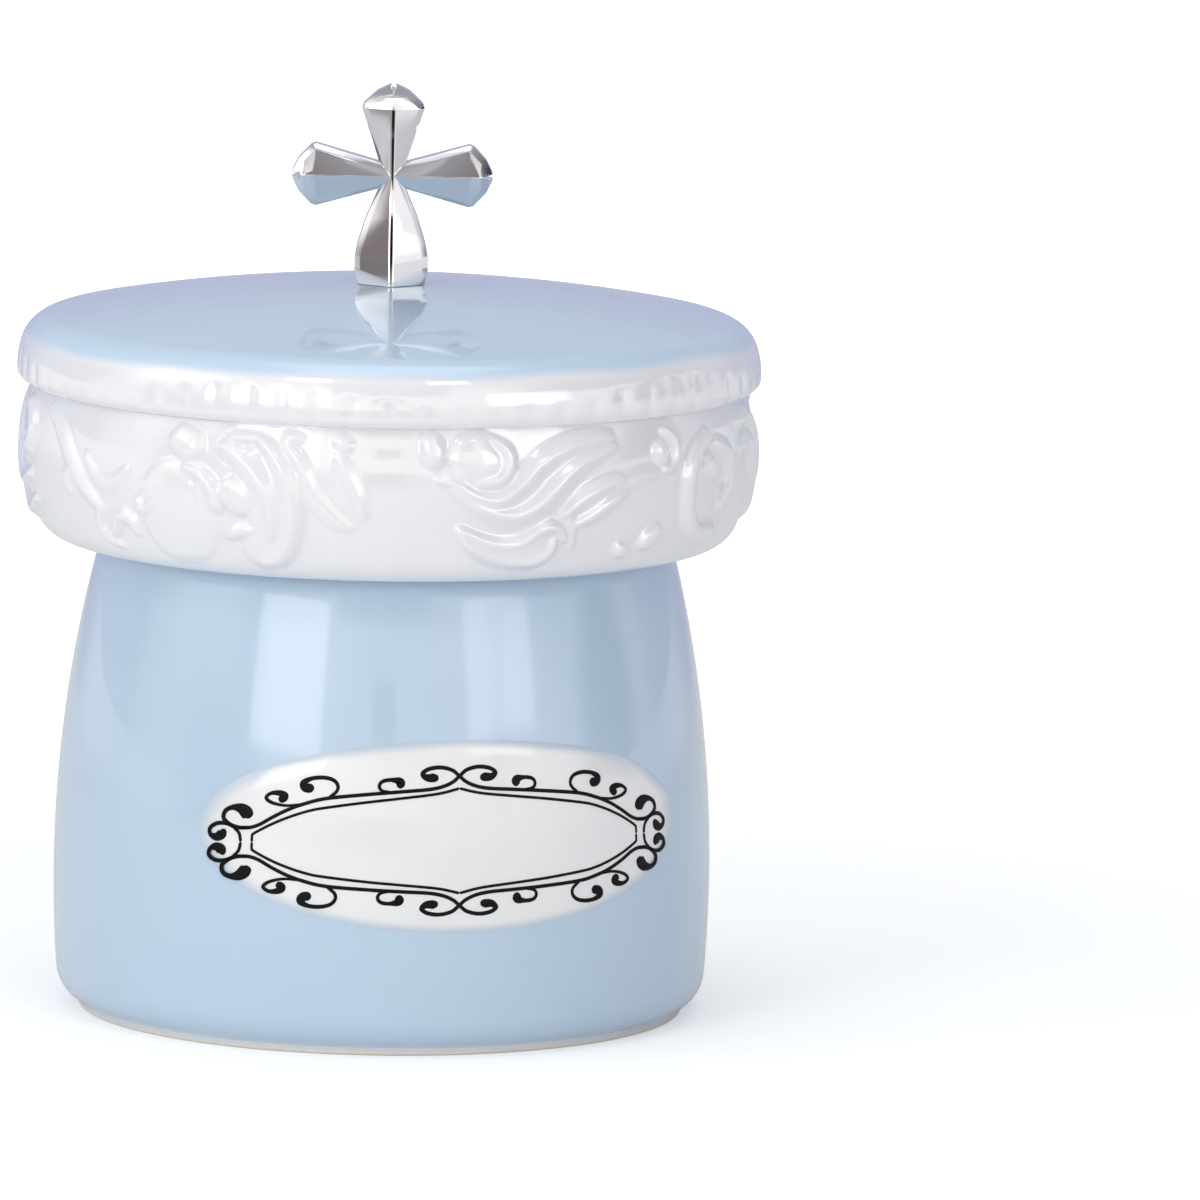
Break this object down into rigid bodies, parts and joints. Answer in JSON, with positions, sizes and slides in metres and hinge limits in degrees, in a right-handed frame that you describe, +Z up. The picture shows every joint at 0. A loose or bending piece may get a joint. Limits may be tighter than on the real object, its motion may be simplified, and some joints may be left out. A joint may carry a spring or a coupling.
{
  "type": "rosary box",
  "caption": "Small round porcelain box with a lift-off lid, a moulded scroll border, an oval label panel and a metal cross as its knob.",
  "frame": {"origin": "on the table at the jar's axis, in the middle of the foot ring's plane", "axes": "+Z up along the jar's axis, -Y towards the front (the label panel's centre is turned 14 degrees from -Y towards +X), +X to the viewer's right"},
  "size_m": [0.0676, 0.0674, 0.0847],
  "materials": {
    "blue_glaze": "pale blue gloss glaze on white porcelain: jar and domed top of the lid; bare on the foot ring, clear on the lid's bead",
    "white_glaze": "clear gloss glaze on white porcelain",
    "label_white": "fired white panel with a thin black scroll frame, gloss",
    "silver_plate": "bright rhodium-coloured plating on a zinc casting",
    "screw_steel": "zinc-plated steel",
    "fibre": "pressed fibre, matt"
  },
  "bodies": {
    "jar_body": {"jar": "blue_glaze", "label_panel": "label_white"},
    "lid_body": {"lid": "blue_glaze", "relief_border": "white_glaze", "cross": "silver_plate", "cross_screw": "screw_steel", "screw_washer": "fibre"}
  },
  "joints": [
    {"name": "lid_lift", "type": "slide", "parent": "jar_body", "child": "lid_body", "axis": [0, 0, 1], "range_m": [0, 0.06]}
  ]
}
